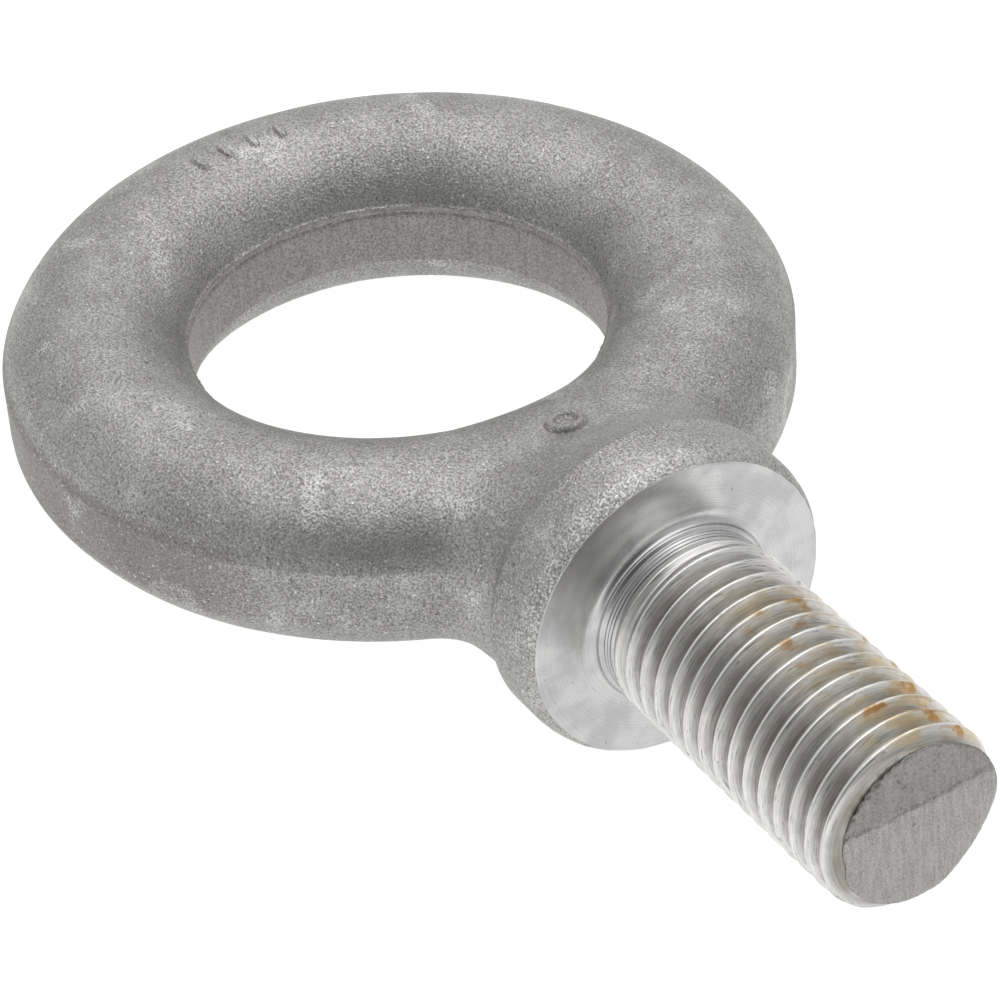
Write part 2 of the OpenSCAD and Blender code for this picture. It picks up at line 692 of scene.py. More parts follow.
@dataclass(frozen=True)
class CutThreadSteel:
    """Steel thread, cut and rubbed: crests painted bright, partly rubbed metal and partly a painted
    highlight, oily grey flanks and a little rust on top.
    """

    crest_r: float
    low: str = "9a9994"
    high: str = "f0efed"
    torn: str = "5c5a55"
    oil: str = "7d7361"
    bloom: str = "c9b384"
    rust: str = "b07c2c"
    relief: float = 0.02

    def material(self) -> Material:
        """Makes the material.

        Returns:
            The material.
        """
        r = Recipe("steel_cut_thread_oiled")
        radius, top = r.from_axis(), self.crest_r
        # the crests are painted brighter: partly rubbed metal, partly a painted highlight
        crest_wear_and_highlight = r.span_mm(radius, top - 1.0, top - 0.1)
        scratch = r.noise(0.14, 3.0, r.joined(radius, r.axis("X")))
        cloud = r.noise(1.6, 4.0)
        dull = r.span(cloud, 0.3, 0.7, 0.08, 0.22)
        share = r.plus(r.times(crest_wear_and_highlight, 0.6), dull, r.span(scratch, 0.3, 0.7, -0.12, 0.22))
        colour = r.tint(share, self.low, self.high)
        # the die tore fine dark lines along the flanks in places, most of them just under the crest
        arc = r.times(r.sums(Way.ANGLE, r.axis("Z"), r.axis("Y")), 0.03 * top * MM)
        drawn = r.noise(0.15, 4.0, r.joined(radius, r.axis("X"), arc))
        torn = r.times(r.span(drawn, 0.50, 0.66), r.span(cloud, 0.46, 0.60))
        under = r.span_mm(radius, top - 1.3, top - 0.4, 0.2, 0.6)
        colour = r.tint(r.times(torn, under), colour, self.torn)
        # old oil lies in the roots as a thin brown film
        film = r.span_mm(radius, top - 0.9, top - 1.4, 0.0, 0.5)
        colour = r.tint(r.times(film, r.span(r.noise(6.0, 2.0), 0.4, 0.6)), colour, self.oil)
        # rust blooms on the upper flanks of the side that faced up in the store, thickest by the tip
        up = r.span_mm(r.axis("Z"), 2, 8)
        right = r.span_mm(r.axis("Y"), -5, 1)
        far = r.span_mm(r.axis("X"), 61, 70)
        where = r.times(up, far, right, r.span_mm(radius, top - 1.2, top - 0.5, 0.3, 1.0))
        round_way = r.stretched(1.3, 0.45, 0.45)
        bloom = r.span(r.noise(1.6, 4.0, round_way), 0.42, 0.62, 0.0, 0.7)
        colour = r.tint(r.times(where, bloom), colour, self.bloom)
        spots = r.span(r.noise(1.3, 4.0, round_way), 0.56, 0.68, 0.0, 0.85)
        colour = r.tint(r.times(where, spots), colour, self.rust)
        roughness = r.span(cloud, 0.3, 0.7, 0.40, 0.32)
        height = r.plus(scratch, r.times(cloud, 0.2))
        return r.finish(colour, roughness, height, self.relief, {"Metallic": 0.9})


@dataclass(frozen=True)
class ShearedEndSteel:
    """Bar end, sheared and blasted: matt grey with a fine even grain."""

    low: str = "918f8b"
    high: str = "b7b6b2"
    broken: str = "75736f"
    relief: float = 0.08

    def material(self) -> Material:
        """Makes the material.

        Returns:
            The material.
        """
        r = Recipe("steel_sheared_bar_end")
        grain = r.noise(0.20, 3.0)
        lines = r.noise(0.45, 2.0, r.stretched(1, 1, 0.15))
        share = r.plus(r.span(grain, 0.3, 0.7, 0.0, 0.6), r.span(lines, 0.3, 0.7, 0.0, 0.4))
        colour = r.tint(share, self.low, self.high)
        # the upper part broke away before the shear was through, and is rougher and darker
        colour = r.tint(r.span_mm(r.axis("Z"), 1.6, 2.5, 0.0, 0.36), colour, self.broken)
        height = r.plus(grain, r.times(lines, 0.4))
        roughness = r.span(grain, 0.3, 0.7, 0.52, 0.42)
        return r.finish(colour, roughness, height, self.relief, {"Metallic": 1.0})


# ---------------------------------------------------------------- sizes


@dataclass(frozen=True)
class BoltSizes:
    """The bolt's driving sizes, all taken from the frame."""

    eye_r: float
    ring_r: float
    seat_x: float
    seat_back_x: float
    shoulder_r: float
    crest_r: float
    thread_x: float
    point_x: float
    tip_x: float

    @classmethod
    def from_frame(cls) -> "BoltSizes":
        """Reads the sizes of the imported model's nodes and mounts.

        Returns:
            The sizes in mm.
        """
        mounts = {m["name"]: m for m in frame["record"]["mounts"]}
        return cls(
            eye_r=mounts["eye"]["dims"]["r_mm"],
            ring_r=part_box("eye_ring")[1].y / MM,
            seat_x=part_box("seat_face")[1].x / MM,
            seat_back_x=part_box("seat_face")[0].x / MM,
            shoulder_r=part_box("shoulder_collar")[1].z / MM,
            crest_r=mounts["thread"]["dims"]["r_mm"],
            thread_x=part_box("threaded_shank")[0].x / MM,
            point_x=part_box("threaded_shank")[1].x / MM,
            tip_x=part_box("shank_point")[1].x / MM,
        )


def settle(
    draft: MeshDraft, name: str, finishes: list[Material], nodes: tuple[str, ...]
) -> None:
    """Makes a piece and says what it rides on, stands for and is made of.

    Args:
        draft: The piece's mesh.
        name: The piece's name.
        finishes: Its finishes, in the order of the mesh's zones.
        nodes: The nodes that it stands for.
    """
    piece = draft.build(name)
    for finish in finishes:
        piece.data.materials.append(finish)
    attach(piece, BODY)
    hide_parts(*nodes)
    LOG.info("%s: %d faces, for %s", piece.name, len(piece.data.polygons), ", ".join(nodes))


# ---------------------------------------------------------------- the forging


@dataclass
class EyeRing:
    """The round bar bent into a ring, with its flash sheared off inside and outside."""

    sizes: BoltSizes
    relief: ForgedRelief
    edges: Relief = field(default_factory=lambda: Relief(21))
    columns: int = 760
    fine_step: float = 0.07
    round_step: float = 0.36
    flat_step: float = 0.30
    bar_path_r: float = 32.3
    bar_half_w: float = 10.45
    bar_half_h: float = 10.2
    burr_h: float = 0.20
    burr_w: float = 0.26
    tear_drop: float = 0.68
    tear_depth: float = 0.12
    tear_w: float = 0.30
    seam_depth: float = 0.06
    seam_w: float = 0.17
    wear_depth: float = 0.05
    wear_w: float = 0.5

    def corner_turn(self, rho: float) -> float:
        """Gives the bar's angle, from outwards to up, where it is cut rho from the eye's axis."""
        return math.acos((rho - self.bar_path_r) / self.bar_half_w)

    def bar_points(self, turn: Array) -> Array:
        """Gives the bar's outline at those angles: distance from the eye's axis, and height."""
        rho = self.bar_path_r + self.bar_half_w * np.cos(turn)
        return np.stack([rho, self.bar_half_h * np.sin(turn)], -1)

    def flat_rows(self, rho: float, corner_z: float) -> Array:
        """Places the rows on a trimmed flat, from its upper corner down to its middle.

        Args:
            rho: The flat's distance from the eye's axis.
            corner_z: Its upper corner's height.

        Returns:
            The rows, as distance from the eye's axis and height.
        """
        fall = graded(2 * corner_z, self.fine_step, self.flat_step)
        fall = fall[fall < corner_z * 0.999]
        return np.stack([np.full(len(fall), rho), corner_z - fall], -1)

    def outline(self) -> tuple[Array, Array, Array, Array]:
        """Draws the section's upper half, from the middle of the inner flat to that of the outer one.

        Returns:
            The points as distance from the eye's axis and height, their outward directions, how far
            each is past the nearest corner (below zero on the flats), and the zone: -1 on the inner
            flat, 0 on the rounding, 1 on the outer flat.
        """
        inner, outer = self.corner_turn(self.sizes.eye_r), self.corner_turn(self.sizes.ring_r)
        scan = np.linspace(inner, outer, 2000)
        path_steps = np.linalg.norm(np.diff(self.bar_points(scan), axis=0), axis=1)
        run = np.concatenate([[0], np.cumsum(path_steps)])
        at = graded(run[-1], self.fine_step, self.round_step)
        turn = np.interp(at, run, scan)
        arc = self.bar_points(turn)
        arc_way = np.stack([np.cos(turn) / self.bar_half_w, np.sin(turn) / self.bar_half_h], -1)
        arc_way /= np.linalg.norm(arc_way, axis=1)[:, None]
        low, high = float(arc[0, 1]), float(arc[-1, 1])
        inner_flat = self.flat_rows(self.sizes.eye_r, low)[:0:-1]
        outer_flat = self.flat_rows(self.sizes.ring_r, high)[1:]
        points = np.concatenate([inner_flat, arc, outer_flat])
        zone = np.repeat([-1.0, 0.0, 1.0], [len(inner_flat), len(arc), len(outer_flat)])
        ways = np.stack([zone, np.zeros(len(zone))], -1)
        ways[zone == 0] = arc_way
        to_corner = np.minimum(at, run[-1] - at)
        past = np.concatenate([inner_flat[:, 1] - low, to_corner, outer_flat[:, 1] - high])
        return points, ways, past, zone

    def build(self, finishes: list[Material]) -> None:
        """Makes the ring.

        Args:
            finishes: The forged and the sheared finish.
        """
        upper, ways, past, zone = self.outline()
        flip = np.array([1.0, -1.0])
        section = np.concatenate([upper, (upper * flip)[::-1]])
        facing = np.concatenate([ways, (ways * flip)[::-1]])
        past = np.concatenate([past, past[::-1]])
        zone = np.concatenate([zone, zone[::-1]])
        is_top = np.arange(len(section)) < len(upper)
        turn = np.arange(self.columns) * TAU / self.columns
        out = np.stack([np.cos(turn), np.sin(turn), np.zeros_like(turn)], -1)
        up = np.array([0.0, 0.0, 1.0])
        smooth = out[:, None] * section[None, :, :1] + up * section[None, :, 1:]
        square = out[:, None] * facing[None, :, :1] + up * facing[None, :, 1:]
        skin = self.relief.at(smooth) * ramp(np.abs(past), 0.0, 0.7)
        lines = smooth * np.array([1.0, 1.0, 0.06])
        sheared = 0.008 * self.edges.at(lines, 1.1) + 0.05 * self.edges.at(lines, 9.0)
        height = np.where(zone >= 0, skin, sheared * ramp(-past, 0.0, 0.5))
        height += self.corner_relief(smooth, past, zone, is_top)
        draft = MeshDraft()
        rows = draft.add(smooth + square * height[..., None])
        for i in range(len(section)):
            j = (i + 1) % len(section)
            draft.band(rows[:, i], rows[:, j], int(min(zone[i], zone[j]) < 0))
        settle(draft, "eye_ring_forging", finishes, ("eye_ring",))

    def corner_relief(
        self, smooth: Array, past: Array, zone: Array, is_top: Array
    ) -> Array:
        """Shapes what the trimming press left at the flats' edges.

        Args:
            smooth: The ring's points.
            past: How far each row is past the nearest corner.
            zone: Each row's zone.
            is_top: Whether each row is above the parting line.

        Returns:
            The height to add, in mm.
        """
        towards_eye = np.linalg.norm(smooth[..., :2], axis=-1) < self.bar_path_r
        ragged = 0.85 + 0.3 * self.edges.at(smooth, 2.3) + 0.4 * self.edges.at(smooth, 0.6)
        # the punch leaves the eye upwards: it throws a burr at the upper edge and tears just under it
        burr = self.burr_h * hump(past, self.burr_w) * np.clip(ragged, 0.3, 1.6)
        tear = self.tear_depth * hump(past + self.tear_drop, self.tear_w) * np.clip(ragged, 0.3, 1.4)
        eye_edge = np.where(towards_eye & is_top, burr - np.where(zone == -1, tear, 0.0), 0.0)
        # outside, the parting line folds over into a fine seam at the upper edge
        open_seam = 0.35 + 0.65 * ramp(smooth[..., 0] * 0.6 + smooth[..., 1], 20.0, 40.0)
        wander = past + 0.12 * self.edges.at(smooth, 4.0)
        seam = -self.seam_depth * hump(wander, self.seam_w) * open_seam * np.clip(ragged, 0.3, 1.3)
        rim_edge = np.where(~towards_eye & is_top, seam, 0.0)
        soft = np.where(~is_top, -self.wear_depth * hump(past, self.wear_w), 0.0)
        return eye_edge + rim_edge + soft


@dataclass
class Shoulder:
    """The neck and the round shoulder, which flow out of the ring with no step."""

    sizes: BoltSizes
    relief: ForgedRelief
    ring: EyeRing
    edges: Relief = field(default_factory=lambda: Relief(31))
    columns: int = 420
    rows: int = 110
    heart_x: float = 38.0
    seam_x: float = 48.5
    core_start_x: float = 28.0
    core_full_x: float = 46.8
    core_half_w: float = 15.6
    root_x: float = 40.3
    root_full: float = 0.35
    core_start_h: float = 6.9
    core_waist_h: float = 15.2
    waist_x: float = 43.9
    valley: float = 4.2
    bevel_w: float = 0.07
    bevel_worn: float = 0.80
    bevel_turn: float = math.radians(205)
    bevel_slope: float = 0.35
    seat_turn: float = math.radians(130)
    sink: tuple[float, ...] = (0.02, 0.10, 0.35, 1.2)

    def turns(self) -> Array:
        """Gives the columns' angles about +X."""
        return np.arange(self.columns) * TAU / self.columns

    def ring_distance(self, p: Array) -> Array:
        """Measures how far points are from the ring.

        Args:
            p: Points in mm.

        Returns:
            Each one's distance from the ring's surface.
        """
        rho = np.linalg.norm(p[..., :2], axis=-1)
        u = (rho - self.ring.bar_path_r) / self.ring.bar_half_w
        bar = (np.hypot(u, p[..., 2] / self.ring.bar_half_h) - 1) * self.ring.bar_half_h
        return np.maximum(bar, np.maximum(self.sizes.eye_r - rho, rho - self.sizes.ring_r))

    def core_distance(self, p: Array) -> Array:
        """Measures how far points are from the stub that carries the shoulder.

        Args:
            p: Points in mm.

        Returns:
            Each one's distance from the stub's surface.
        """
        rise = np.clip((p[..., 0] - self.core_start_x) / (self.waist_x - self.core_start_x), 0, 1)
        late = ramp(p[..., 0], self.waist_x, self.core_full_x)
        full = self.sizes.shoulder_r
        waist_h = self.core_start_h + (self.core_waist_h - self.core_start_h) * rise
        half_h = waist_h + (full - waist_h) * late
        # the sides are a little fuller where they leave the ring
        half_w = self.core_half_w + (full - self.core_half_w) * late
        half_w = half_w + self.root_full * hump(p[..., 0] - self.root_x, 1.8)
        # it is squarer below the parting line than above it, and round at the collar
        upper = ramp(p[..., 0], 35.0, self.waist_x) * (0.25 + 0.45 * ramp(p[..., 2], -6.0, 5.0))
        power = 2.8 - upper - (0.8 - upper) * late
        shape = np.abs(p[..., 1] / half_w) ** power + np.abs(p[..., 2] / half_h) ** power
        shape = shape ** (1 / power)
        reach = np.hypot(p[..., 1], p[..., 2])
        tube = reach * (1 - 1 / np.maximum(shape, 1e-6))
        return blend_max(tube, self.core_start_x - p[..., 0], 3.0)

    def distance(self, p: Array) -> Array:
        """Gives the distance in mm from points to ring and stub together."""
        return blend_min(self.ring_distance(p), self.core_distance(p), self.valley)

    def reach(self, way: Array, both: bool = True) -> Array:
        """Follows rays from the neck's heart out to the surface.

        Args:
            way: The rays' unit directions.
            both: Whether the surface is that of ring and stub together, or the ring's alone.

        Returns:
            Where each ray leaves the surface.
        """
        field_of = self.distance if both else self.ring_distance
        heart = on_axis(self.heart_x)
        low = np.full(way.shape[:-1], 3.0)
        high = low.copy()
        found = np.zeros(way.shape[:-1], bool)
        stride = 0.4
        for step in np.arange(3.0, 40.0, stride):
            outside = field_of(heart + way * step) > 0
            high = np.where(outside & ~found, step, high)
            low = np.where(outside & ~found, step - stride, low)
            found |= outside
        last = crossing(low, high, lambda step: field_of(heart + way * step[..., None]) > 0, 18)
        return heart + way * last[..., None]

    def ways(self, lean: Array) -> Array:
        """Gives unit directions that lean from +X by those angles, one row of angles per column."""
        turn = np.broadcast_to(self.turns()[:, None], lean.shape)
        return np.stack([np.cos(lean), np.sin(lean) * np.cos(turn), np.sin(lean) * np.sin(turn)], -1)

    def build_neck(self, finish: Material) -> None:
        """Makes the neck, from the shoulder's seam until it has melted into the ring.

        Args:
            finish: The forged finish.
        """
        first = math.atan2(self.sizes.shoulder_r, self.seam_x - self.heart_x)
        scan = np.linspace(first, math.radians(158), 240)
        far = self.reach(self.ways(np.tile(scan, (self.columns, 1))))
        melted = self.core_distance(far) >= self.valley
        melted[:, :20] = False
        last = scan[np.argmax(melted, axis=1)]
        # an even edge keeps the columns from crowding
        for _ in range(6):
            last = np.maximum(last, (np.roll(last, 1) + np.roll(last, -1)) / 2)
        share = np.linspace(0, 1, self.rows)
        lean = first + (last - first)[:, None] * share
        shown = self.reach(self.ways(lean))
        under_lean = last[:, None] + np.radians(0.5) * np.arange(1, len(self.sink) + 1)
        under = self.reach(self.ways(under_lean), both=False)
        grid = np.concatenate([shown, under], axis=1)
        square = outward(grid, on_axis(self.heart_x))
        square[:, 0] = turned_points(self.turns(), 0.0, np.ones(self.columns))
        drop = np.concatenate([np.zeros(self.rows), self.sink])
        grid = grid + square * (self.relief.at(grid) - drop)[..., None]
        draft = MeshDraft()
        rows = draft.sleeve(grid, (0, -1))
        draft.fan(rows[:, 0], on_axis(self.seam_x))
        draft.fan(rows[:, -1], on_axis(self.heart_x - 5))
        settle(draft, "neck_forging", [finish], ("neck",))

    def seat_edge(self) -> Array:
        """Finds where the turned face cuts the forged rounding.

        Returns:
            The radius in mm for each column.
        """
        seat_r = self.sizes.shoulder_r - 1.0
        place = turned_points(self.turns(), self.sizes.seat_x, np.full(self.columns, seat_r))
        wander = 0.12 * self.edges.at(place, 9.0) + 0.05 * self.edges.at(place, 1.5)
        # the tool ran a little off centre, so its face is widest at the upper left
        return seat_r + wander + 0.28 * hump(self.turns() - self.seat_turn, 0.7)

    def bevel(self) -> Array:
        """Gives the width in mm of the bevel on the face's edge, per column: most at lower left."""
        worn = self.bevel_worn * hump(self.turns() - self.bevel_turn, 0.5)
        return self.bevel_w + worn + 0.12 * hump(self.turns() - math.radians(55), 0.6)

    def build_collar(self, finish: Material) -> None:
        """Makes the shoulder, with a recess for the turned layer.

        Args:
            finish: The forged finish.
        """
        turn = self.turns()[:, None]
        end_x, full = self.sizes.seat_x, self.sizes.shoulder_r
        round_x = end_x - 3.6
        x = self.seam_x + graded(end_x - self.seam_x, 0.1, 0.28)
        edge = self.seat_edge()[:, None]
        drop = self.bevel_slope * self.bevel()[:, None]
        fall = np.clip((x - round_x) / (end_x - round_x), 0, 1) ** 2.6
        radius = full - (full - edge) * fall
        grid = turned_points(turn, x - drop * (x - self.seam_x) / (end_x - self.seam_x), radius)
        square = outward(grid, on_axis(self.heart_x))
        square[:, 0] = turned_points(self.turns(), 0.0, np.ones(self.columns))
        fade = 1 - ramp(x, end_x - 0.8, end_x)
        coarse = 0.05 * self.edges.at(grid, 0.9) * ramp(x, end_x - 4.5, end_x - 1.5)
        grid = grid + square * ((self.relief.at(grid) + coarse) * fade)[..., None]
        back = turned_points(turn, np.array([[self.sizes.seat_back_x]]), edge - 0.3)
        draft = MeshDraft()
        rows = draft.sleeve(np.concatenate([grid, back], axis=1), (0, -2, -1))
        draft.fan(rows[:, 0], on_axis(self.seam_x))
        draft.fan(rows[:, -1], on_axis(self.sizes.seat_back_x))
        settle(draft, "shoulder_forging", [finish], ("shoulder_collar",))


@dataclass
class ForgeMarks:
    """Plain raised marks from the die: code bars at the ring's far side, a round pip by the neck."""

    sizes: BoltSizes
    relief: ForgedRelief
    shoulder: Shoulder
    bars: int = 4
    bar_w: float = 1.4
    bar_len: float = 3.7
    bar_in: float = 0.5
    bar_h: float = 0.5
    bar_power: float = 2.4
    pip_h: float = 0.7
    first_turn: float = 172.5
    turn_step: float = 6.2
    pip_x: float = 34.0
    pip_r: float = 2.3
    side: int = 25

    def surface_z(self, x: Array, y: Array) -> Array:
        """Finds the forging's upper skin.

        Args:
            x: Places along +X in mm.
            y: Places along +Y in mm.

        Returns:
            The height in mm above each.
        """
        low, high = np.full(x.shape, 4.0), np.full(x.shape, 16.0)
        z = crossing(low, high, lambda z: self.shoulder.distance(np.stack([x, y, z], -1)) > 0, 30)
        return z + self.relief.at(np.stack([x, y, z], -1))

    def dome(self, x: Array, y: Array, lift: Array) -> MeshDraft:
        """Shapes one raised mark from a square grid of places and heights.

        Args:
            x: Places along +X in mm.
            y: Places along +Y in mm.
            lift: Heights above the skin in mm.

        Returns:
            The mark's mesh.
        """
        base = self.surface_z(x, y)
        top = np.stack([x, y, base + lift], -1)
        bottom = np.stack([x, y, base - 0.6], -1)
        draft = MeshDraft()
        above, below = draft.add(top), draft.add(bottom)
        draft.net(above)
        draft.net(below[::-1])
        top_rim, bottom_rim = (
            np.concatenate([rows[:-1, 0], rows[-1, :-1], rows[:0:-1, -1], rows[0, :0:-1]])
            for rows in (above, below)
        )
        draft.band(bottom_rim, top_rim)
        return draft

    def build(self, finish: Material) -> None:
        """Makes the marks.

        Args:
            finish: The forged finish.
        """
        step = np.linspace(-1, 1, self.side)
        across, along = np.meshgrid(step, step, indexing="ij")
        for i in range(self.bars):
            turn = math.radians(self.first_turn + i * self.turn_step)
            rho = self.shoulder.ring.bar_path_r - self.bar_in + along * self.bar_len / 2
            side = across * self.bar_w / 2
            x = rho * math.cos(turn) - side * math.sin(turn)
            y = rho * math.sin(turn) + side * math.cos(turn)
            power = self.bar_power
            off = (np.abs(across) ** power + np.abs(along) ** power) ** (1 / power)
            lift = self.bar_h * ramp(-off, -0.97, -0.5) - 0.05
            name = f"code_bar_{i + 1}"
            settle(self.dome(x, y, lift), name, [finish], ("forge_marks",))
        square = np.maximum(np.abs(across), np.abs(along))
        round_off = np.where(square > 0, square / np.maximum(np.hypot(across, along), 1e-9), 1.0)
        x = self.pip_x + across * round_off * self.pip_r
        y = along * round_off * self.pip_r
        lift = self.pip_h * (ramp(-square, -1.0, -0.80) - 0.9 * ramp(-square, -0.60, -0.40)) - 0.04
        settle(self.dome(x, y, lift), "neck_pip", [finish], ("forge_marks",))


# ---------------------------------------------------------------- the machined end


@dataclass
class Seat:
    """The turned face and the fillet where the shank leaves it."""

    sizes: BoltSizes
    shoulder: Shoulder
    fillet_r: float = 11.3

    def build(self, finish: Material) -> None:
        """Makes the face and the root.

        Args:
            finish: The turned finish.
        """
        self.build_face(finish)
        self.build_root(finish)

    def build_face(self, finish: Material) -> None:
        """Makes the turned face, a layer let into the shoulder.

        Args:
            finish: The turned finish.
        """
        turn = self.shoulder.turns()[:, None]
        edge = self.shoulder.seat_edge()[:, None]
        seat_x, back_x = self.sizes.seat_x, self.sizes.seat_back_x
        broken = self.shoulder.bevel()[:, None]
        inner = edge - broken - (edge - broken - self.fillet_r) * np.linspace(0, 1, 40)
        face_x = np.full(inner.shape, seat_x)
        rows_x = [np.full(edge.shape, back_x), seat_x - broken * self.shoulder.bevel_slope, face_x]
        rows_r = [edge - 0.32, edge + 0.01, inner]
        grid = turned_points(turn, np.concatenate(rows_x, 1), np.concatenate(rows_r, 1))
        hole = turned_points(turn, np.array([[back_x]]), np.full(edge.shape, self.fillet_r))
        draft = MeshDraft()
        rows = draft.sleeve(np.concatenate([grid, hole], axis=1), (0, 1, 2, -2, -1))
        draft.band(rows[:, -1], rows[:, 0])
        settle(draft, "seat_turned", [finish], ("seat_face",))

    def root_outline(self) -> Array:
        """Draws the root from the seat to the thread.

        Returns:
            Its points, as distance along +X and radius.
        """
        fillet = self.fillet_r - self.sizes.crest_r
        seat_x = self.sizes.seat_x
        bend = np.linspace(0, math.pi / 2, 12)
        arc_x = seat_x + fillet * (1 - np.cos(bend)) * 0.65
        arc_r = self.fillet_r - fillet * np.sin(bend)
        land = [(1.05, 10.0), (1.13, 9.62), (1.34, 9.52), (1.44, 9.64), (1.55, 9.64), (1.62, 9.50)]
        lines = [(1.74, 9.50), (1.80, 9.58), (1.94, 9.56), (2.00, 9.44), (2.14, 9.44), (2.20, 9.50)]
        run = [(2.42, 9.46), (2.50, 9.30), (2.90, 9.05), (3.60, 8.80)]
        steps = np.array(land + lines + run) + np.array([seat_x, 0.0])
        return np.concatenate([np.stack([arc_x, arc_r], -1), steps])

    def build_root(self, finish: Material) -> None:
        """Makes the fillet and the rings that the threading tool left as it ran out.

        Args:
            finish: The turned finish.
        """
        turn = self.shoulder.turns()[:, None]
        outline = self.root_outline()
        x = np.concatenate([[self.sizes.seat_back_x], outline[:, 0], [outline[-1, 0] + 0.5]])
        radius = np.concatenate([[self.fillet_r], outline[:, 1], [6.0]])
        draft = MeshDraft()
        rows = draft.sleeve(turned_points(turn, x[None], radius[None]), (0, 1, -2, -1))
        draft.fan(rows[:, 0], on_axis(self.sizes.seat_back_x))
        draft.fan(rows[:, -1], on_axis(float(x[-1])))
        settle(draft, "root_fillet_turned", [finish], ("root_fillet_ring",))


@dataclass
class Shank:
    """The right-hand thread, cut on a helix, and the sheared end of the bar."""

    sizes: BoltSizes
    nicks: Relief = field(default_factory=lambda: Relief(41))
    pitch: float = 2.5
    columns: int = 300
    per_turn: int = 28
    crest_flat: float = 0.30
    flank_slope: float = 1.73
    depth: float = 1.5
    phase: float = 0.16
    end_r: float = 8.8
    end_skew: float = 1.02
    end_undercut: float = 0.4
    end_step: float = 0.22
    end_bevel: float = 0.12
    end_facet: float = 0.5
    burr_turn: float = math.radians(125)
    burr_h: float = 0.26
    notch_turn: float = math.radians(190)
    notch_depth: float = 0.35
    squashed_share: float = 0.85

    def end_x(self, y: Array, z: Array) -> Array:
        """Gives the sheared face's place along +X over each point of the section.

        Args:
            y: Places along +Y in mm.
            z: Places along +Z in mm.

        Returns:
            The face's height along +X in mm.
        """
        point = np.stack([np.zeros_like(y), y, z], -1)
        wander = 0.35 * self.nicks.at(point, 4.0) + 0.12 * self.nicks.at(point, 1.2)
        line = z - 2.1 - 0.05 * y + wander
        step = self.end_step * ramp(line, -0.35, 0.25) * ramp(-y, -11.0, -4.0)
        turn = np.arctan2(z, y)
        inwards = self.outline_r(turn) - np.hypot(y, z)
        bevel = self.end_bevel * ramp(-inwards, -0.6, 0.0) ** 2
        facet = self.end_facet * ramp(y - 0.7 * z, 9.2, 12.5)
        # the shear tore the upper left edge up into a crumbly burr
        torn = hump(turn - self.burr_turn, 0.5) * ramp(-inwards, -0.8, -0.1)
        burr = torn * (self.burr_h + 0.40 * self.nicks.at(point, 0.7))
        rough = 0.05 * self.nicks.at(point, 0.8) + 0.03 * self.nicks.at(point, 0.4)
        rough = rough * (1 + 1.2 * ramp(line, -0.2, 0.3))
        return self.sizes.tip_x - 0.02 - step - bevel - facet + burr + rough

    def outline_r(self, turn: Array) -> Array:
        """Gives the sheared end's radius in mm at angles about +X: the shear squashed it oblong."""
        notch = self.notch_depth * hump(np.mod(turn, TAU) - self.notch_turn, 0.13)
        return self.end_r + self.end_skew * np.cos(turn + math.radians(30)) - notch

    def envelope(self, x: Array, turn: Array) -> Array:
        """Gives the most that the thread's radius may be.

        Args:
            x: Places along +X in mm.
            turn: Angles about +X.

        Returns:
            The radius in mm: it grows as the tool runs in and draws in to the sheared end.
        """
        run_in = 9.1 + 0.9 * ramp(x, self.sizes.thread_x - 0.6, self.sizes.thread_x + 1.6)
        draw_in = ramp(x, self.sizes.point_x + 0.75, self.sizes.point_x + 1.35)
        end_r = self.outline_r(turn) - self.end_undercut * hump(turn - math.radians(130), 0.8)
        return np.minimum(run_in, self.sizes.crest_r - (self.sizes.crest_r - end_r) * draw_in)

    def cut_r(self, x: Array, turn: Array) -> Array:
        """Gives the radius in mm that the thread's grooves leave.

        Args:
            x: Places along +X in mm.
            turn: Angles about +X.

        Returns:
            The radius.
        """
        lap = (x - self.sizes.thread_x) / self.pitch - turn / TAU + self.phase
        off = np.abs(lap - np.round(lap)) * self.pitch
        cut = blend_max((off - self.crest_flat / 2) * self.flank_slope, np.zeros_like(off), 0.16)
        cut = blend_min(cut, np.full_like(off, self.depth), 0.5)
        depth = cut * ramp(x, self.sizes.thread_x - 0.6, self.sizes.thread_x + 4.6)
        # the shear pressed the last groove shut on the right
        at_right = hump(np.mod(turn + math.pi, TAU) - math.pi + 0.15, 0.8)
        at_end = ramp(x, self.sizes.tip_x - 1.3, self.sizes.tip_x - 0.4)
        depth = depth * (1 - self.squashed_share * at_right * at_end)
        return self.sizes.crest_r - depth

    def radius(self, x: Array, turn: Array) -> Array:
        """Gives the thread's radius in mm, grooves and ends together."""
        return np.minimum(self.cut_r(x, turn), self.envelope(x, turn))

    def build_thread(self, finish: Material) -> None:
        """Makes the thread, on rows that follow the helix.

        Args:
            finish: The thread's finish.
        """
        start, stop = self.sizes.thread_x - 1.6, self.sizes.tip_x + 0.2
        laps = (stop - start) / self.pitch + 1
        rows = int(round(laps * self.per_turn))
        turn = (np.arange(self.columns) * TAU / self.columns)[:, None]
        x = start + (np.arange(rows) / self.per_turn - 1 + turn / TAU) * self.pitch
        radius = self.radius(x, turn)
        rough = 0.012 * self.nicks.at(turned_points(turn, x, radius), 1.0)
        rim_r = self.outline_r(turn)
        # the thread stops under the face, and clear of its burr
        rims = (rim_r, rim_r - 0.5, rim_r - 1.0)
        limit = np.minimum.reduce([self.end_x(r * np.cos(turn), r * np.sin(turn)) for r in rims]) - 0.15
        row_step = self.pitch / self.per_turn
        over = np.clip((x - limit) / row_step, 0, None)
        before = np.clip((start - x) / row_step, 0, None)
        radius = radius + rough - 0.10 * over - 0.10 * before
        grid = turned_points(turn, np.clip(x, start, limit), np.maximum(radius, 1.0))
        draft = MeshDraft()
        nets = draft.add(grid)
        draft.net(nets)
